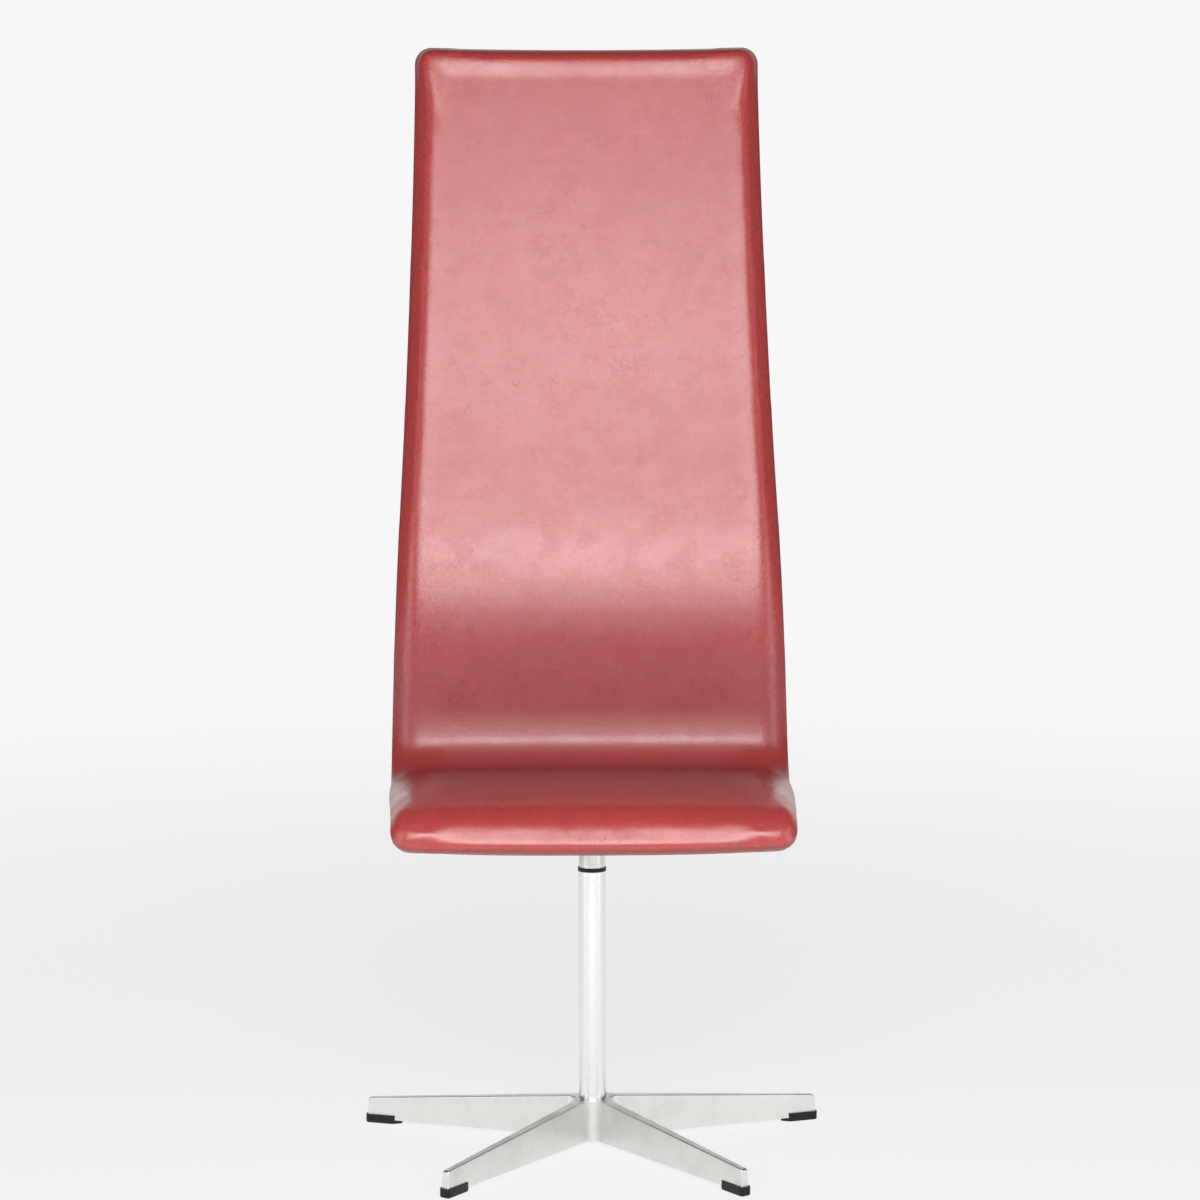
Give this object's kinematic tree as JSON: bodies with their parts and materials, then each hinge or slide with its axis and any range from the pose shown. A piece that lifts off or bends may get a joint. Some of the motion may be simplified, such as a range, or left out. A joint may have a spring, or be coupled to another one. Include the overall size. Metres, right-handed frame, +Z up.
{
  "type": "swivel office chair",
  "caption": "Swivel office chair with a tall narrow back: leather-upholstered shell on a fixed-height column and a star base with glides.",
  "frame": {"origin": "the column's axis on the floor", "axes": "+Z up along the column, the sitter faces -Y, +X to the sitter's left"},
  "size_m": [0.5292, 0.5966, 1.2645],
  "materials": {
    "cast_aluminium": "brushed satin",
    "column_steel": "satin",
    "hardware_steel": "zinc plated",
    "black_plastic": "matte",
    "red_leather": "smooth, semi-matte",
    "upholstery_foam": "matte",
    "moulded_plywood": "sanded"
  },
  "bodies": {
    "base": {"star_base": "cast_aluminium", "glide_1": "black_plastic", "glide_2": "black_plastic", "glide_3": "black_plastic", "glide_4": "black_plastic", "glide_5": "black_plastic", "column_tube": "column_steel", "column_plug": "hardware_steel", "base_washer": "hardware_steel", "base_bolt": "hardware_steel", "lower_bush": "black_plastic", "upper_bush": "black_plastic"},
    "seat": {"spindle": "hardware_steel", "spindle_washer": "hardware_steel", "retaining_ring": "hardware_steel", "seat_spider": "cast_aluminium", "grub_screws": "hardware_steel", "spider_screws": "hardware_steel", "screw_washers": "hardware_steel", "shell_inserts": "hardware_steel", "plywood_shell": "moulded_plywood", "foam_front": "upholstery_foam", "foam_rear": "upholstery_foam", "leather_front": "red_leather", "leather_rear": "red_leather"}
  },
  "joints": [
    {"name": "seat_swivel", "type": "hinge", "parent": "base", "child": "seat", "pos_m": [0, 0, 0.318], "axis": [0, 0, 1], "continuous": true}
  ]
}
